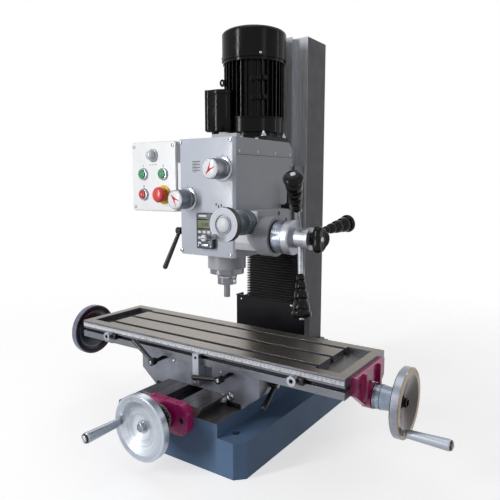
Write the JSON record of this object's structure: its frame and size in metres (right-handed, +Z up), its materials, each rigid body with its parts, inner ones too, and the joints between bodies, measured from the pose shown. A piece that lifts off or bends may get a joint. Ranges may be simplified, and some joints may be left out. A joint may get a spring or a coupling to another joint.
{
  "type": "mill drill",
  "caption": "Bench mill drill with a slotted cross table, dovetail column, geared tilting head, quill with downfeed spokes and a finned motor on top.",
  "frame": {"origin": "centre of the base's underside, which is also the centre of its four mounting holes", "axes": "+Z up along the column, +X along the table to the right handwheel, +Y from the operator to the column"},
  "size_m": [1.1952, 0.7896, 1.035],
  "materials": {
    "cast_blue": "semi-gloss hammered paint",
    "cast_grey": "dark grey paint with ground ways",
    "head_grey": "smooth light grey paint",
    "plate_grey": "light grey-blue face",
    "magenta": "glossy magenta paint",
    "ground_iron": "ground iron",
    "steel": "machined steel",
    "polished": "polished",
    "bronze": "machined bronze",
    "motor_black": "gloss black",
    "sheet_black": "satin black sheet",
    "black_oxide": "black oxide",
    "grip_black": "moulded gloss black",
    "bellows": "matte rubber cloth",
    "dial": "satin anodised",
    "box_white": "semi-gloss white",
    "green": "gloss green",
    "red": "gloss red",
    "readout": "matte dark blue-black"
  },
  "bodies": {
    "frame": {"base": "cast_blue", "column": "cast_grey", "column_bolts": "black_oxide", "front_bracket": "magenta", "way_cover": "sheet_black"},
    "elevation_screw": {"z_screw": "steel"},
    "elevation_crank": {"z_crank": "steel"},
    "cross_saddle": {"saddle": "ground_iron", "feed_nuts": "bronze", "stop_block": "polished"},
    "left_table_lock": {"table_lock_left": "black_oxide"},
    "right_table_lock": {"table_lock_right": "black_oxide"},
    "side_saddle_lock": {"saddle_lock": "black_oxide"},
    "long_table": {"table": "ground_iron", "right_bracket": "magenta", "left_bracket": "magenta"},
    "stop_left": {"left_stop": "polished"},
    "stop_right": {"right_stop": "polished"},
    "long_screw": {"x_screw": "steel", "right_handwheel": "polished", "left_handwheel": "polished", "x_dials": "dial"},
    "right_crank_grip": {"right_grip": "polished"},
    "cross_screw": {"y_screw": "steel", "front_handwheel": "polished", "y_dial": "black_oxide"},
    "front_crank_grip": {"front_grip": "polished"},
    "slide_body": {"head_slide": "cast_grey", "bellows": "bellows"},
    "head": {"head_housing": "head_grey", "front_plate": "plate_grey", "top_cover": "head_grey", "feed_housing": "head_grey", "motor_frame": "motor_black", "fan_cowl": "motor_black", "terminal_box": "motor_black", "control_box": "box_white", "depth_readout": "readout", "head_bearings": "steel"},
    "swivel_clamp": {"head_clamp": "black_oxide"},
    "rotor": {"motor_rotor": "steel"},
    "lay_gears": {"layshaft": "steel"},
    "sleeve": {"drive_sleeve": "steel"},
    "quill_body": {"quill": "steel"},
    "spindle_body": {"spindle": "steel", "tool_arbor": "polished"},
    "downfeed": {"feed_shaft": "steel", "downfeed_hub": "polished", "downfeed_grips": "grip_black"},
    "dial_ring": {"feed_dial": "dial"},
    "clutch_knob": {"star_knob": "grip_black"},
    "fine_feed": {"fine_wheel": "polished"},
    "worm_gear": {"worm_wheel": "bronze"},
    "range_selector": {"range_knob": "dial"},
    "speed_selector": {"speed_knob": "dial"},
    "button_start": {"start_button": "green"},
    "button_reverse": {"reverse_button": "green"},
    "button_stop": {"stop_button": "red"},
    "button_emergency": {"emergency_stop": "red"},
    "quill_clamp": {"quill_lock": "black_oxide"}
  },
  "joints": [
    {"name": "cross_screw_turn", "type": "hinge", "parent": "frame", "child": "cross_screw", "pos_m": [0, -0.35, 0.11], "axis": [0, 1, 0], "range_deg": [-6336, 6336]},
    {"name": "saddle_slide", "type": "slide", "parent": "frame", "child": "cross_saddle", "axis": [0, 1, 0], "range_m": [-0.088, 0.088]},
    {"name": "front_grip_spin", "type": "hinge", "parent": "cross_screw", "child": "front_crank_grip", "pos_m": [-0.06, -0.45, 0.11], "axis": [0, 1, 0], "continuous": true},
    {"name": "long_screw_turn", "type": "hinge", "parent": "long_table", "child": "long_screw", "pos_m": [0.45, -0.109, 0.186], "axis": [1, 0, 0], "range_deg": [-14040, 14040]},
    {"name": "table_slide", "type": "slide", "parent": "cross_saddle", "child": "long_table", "axis": [1, 0, 0], "range_m": [-0.195, 0.195]},
    {"name": "right_grip_spin", "type": "hinge", "parent": "long_screw", "child": "right_crank_grip", "pos_m": [0.55, -0.1408, 0.13512], "axis": [1, 0, 0], "continuous": true},
    {"name": "left_stop_slide", "type": "slide", "parent": "long_table", "child": "stop_left", "axis": [1, 0, 0], "range_m": [-0.09, 0.22]},
    {"name": "right_stop_slide", "type": "slide", "parent": "long_table", "child": "stop_right", "axis": [1, 0, 0], "range_m": [-0.22, 0.08]},
    {"name": "left_lock_turn", "type": "hinge", "parent": "cross_saddle", "child": "left_table_lock", "pos_m": [-0.1015, -0.245, 0.198], "axis": [0, -1, 0], "range_deg": [-40, 25]},
    {"name": "right_lock_turn", "type": "hinge", "parent": "cross_saddle", "child": "right_table_lock", "pos_m": [0.108, -0.245, 0.197], "axis": [0, -1, 0], "range_deg": [-25, 25]},
    {"name": "saddle_lock_turn", "type": "hinge", "parent": "cross_saddle", "child": "side_saddle_lock", "pos_m": [0.2, -0.15, 0.172], "axis": [1, 0, 0], "range_deg": [-30, 30]},
    {"name": "crank_turn", "type": "hinge", "parent": "frame", "child": "elevation_crank", "pos_m": [-0.13, 0.219, 0.955], "axis": [1, 0, 0], "range_deg": [-5760, 21600]},
    {"name": "elevation_screw_turn", "type": "hinge", "parent": "frame", "child": "elevation_screw", "pos_m": [0, 0.219, 0.5], "axis": [0, 0, 1], "range_deg": [-21600, 5760]},
    {"name": "head_lift", "type": "slide", "parent": "frame", "child": "slide_body", "axis": [0, 0, 1], "range_m": [-0.08, 0.3], "deforming": ["bellows"]},
    {"name": "head_tilt", "type": "hinge", "parent": "slide_body", "child": "head", "pos_m": [0, 0.105, 0.6], "axis": [0, 1, 0], "range_deg": [-45, 20]},
    {"name": "swivel_clamp_turn", "type": "hinge", "parent": "head", "child": "swivel_clamp", "pos_m": [0.1, 0.058, 0.577], "axis": [1, 0, 0], "range_deg": [-50, 50]},
    {"name": "motor_spin", "type": "hinge", "parent": "head", "child": "rotor", "pos_m": [0, 0.051, 0.696], "axis": [0, 0, 1], "continuous": true},
    {"name": "layshaft_spin", "type": "hinge", "parent": "head", "child": "lay_gears", "pos_m": [0, -0.012, 0.68], "axis": [0, 0, 1], "continuous": true},
    {"name": "sleeve_spin", "type": "hinge", "parent": "head", "child": "sleeve", "pos_m": [0, -0.074, 0.68], "axis": [0, 0, 1], "continuous": true},
    {"name": "quill_feed", "type": "slide", "parent": "head", "child": "quill_body", "axis": [0, 0, -1], "range_m": [0, 0.088]},
    {"name": "spindle_spin", "type": "hinge", "parent": "quill_body", "child": "spindle_body", "pos_m": [0, -0.074, 0.4], "axis": [0, 0, 1], "continuous": true},
    {"name": "feed_turn", "type": "hinge", "parent": "head", "child": "downfeed", "pos_m": [0.25, -0.1265, 0.517], "axis": [-1, 0, 0], "range_deg": [0, 296.5]},
    {"name": "dial_ring_turn", "type": "hinge", "parent": "downfeed", "child": "dial_ring", "pos_m": [0.2, -0.1265, 0.517], "axis": [1, 0, 0], "continuous": true},
    {"name": "clutch_knob_turn", "type": "hinge", "parent": "downfeed", "child": "clutch_knob", "pos_m": [0.3, -0.1265, 0.517], "axis": [1, 0, 0], "range_deg": [-90, 90]},
    {"name": "fine_feed_turn", "type": "hinge", "parent": "head", "child": "fine_feed", "pos_m": [0.121, -0.2, 0.549], "axis": [0, 1, 0], "continuous": true},
    {"name": "worm_gear_spin", "type": "hinge", "parent": "head", "child": "worm_gear", "pos_m": [0.121, -0.1265, 0.517], "axis": [1, 0, 0], "continuous": true},
    {"name": "range_turn", "type": "hinge", "parent": "head", "child": "range_selector", "pos_m": [0.05, -0.18, 0.672], "axis": [0, -1, 0], "range_deg": [-60, 60]},
    {"name": "speed_turn", "type": "hinge", "parent": "head", "child": "speed_selector", "pos_m": [-0.058, -0.18, 0.599], "axis": [0, -1, 0], "range_deg": [-60, 60]},
    {"name": "start_push", "type": "slide", "parent": "head", "child": "button_start", "axis": [0, 1, 0], "range_m": [0, 0.004], "stiffness_N_per_m": 400},
    {"name": "reverse_push", "type": "slide", "parent": "head", "child": "button_reverse", "axis": [0, 1, 0], "range_m": [0, 0.004], "stiffness_N_per_m": 400},
    {"name": "stop_push", "type": "slide", "parent": "head", "child": "button_stop", "axis": [0, 1, 0], "range_m": [0, 0.004], "stiffness_N_per_m": 400},
    {"name": "emergency_push", "type": "slide", "parent": "head", "child": "button_emergency", "axis": [0, 1, 0], "range_m": [0, 0.006], "stiffness_N_per_m": 600},
    {"name": "quill_clamp_turn", "type": "hinge", "parent": "head", "child": "quill_clamp", "pos_m": [-0.1, -0.14, 0.517], "axis": [1, 0, 0], "range_deg": [-30, 30]}
  ],
  "couplings": [
    {"joint": "saddle_slide", "follows": "cross_screw_turn", "m_per_rad": 0.00079577},
    {"joint": "table_slide", "follows": "long_screw_turn", "m_per_rad": 0.00079577},
    {"joint": "crank_turn", "follows": "head_lift", "rad_per_m": 1256.6},
    {"joint": "elevation_screw_turn", "follows": "head_lift", "rad_per_m": -1256.6},
    {"joint": "layshaft_spin", "follows": "motor_spin", "ratio": -0.5},
    {"joint": "sleeve_spin", "follows": "motor_spin", "ratio": 0.275},
    {"joint": "spindle_spin", "follows": "motor_spin", "ratio": 0.275},
    {"joint": "quill_feed", "follows": "feed_turn", "m_per_rad": 0.017},
    {"joint": "worm_gear_spin", "follows": "fine_feed_turn", "ratio": 0.033333}
  ]
}
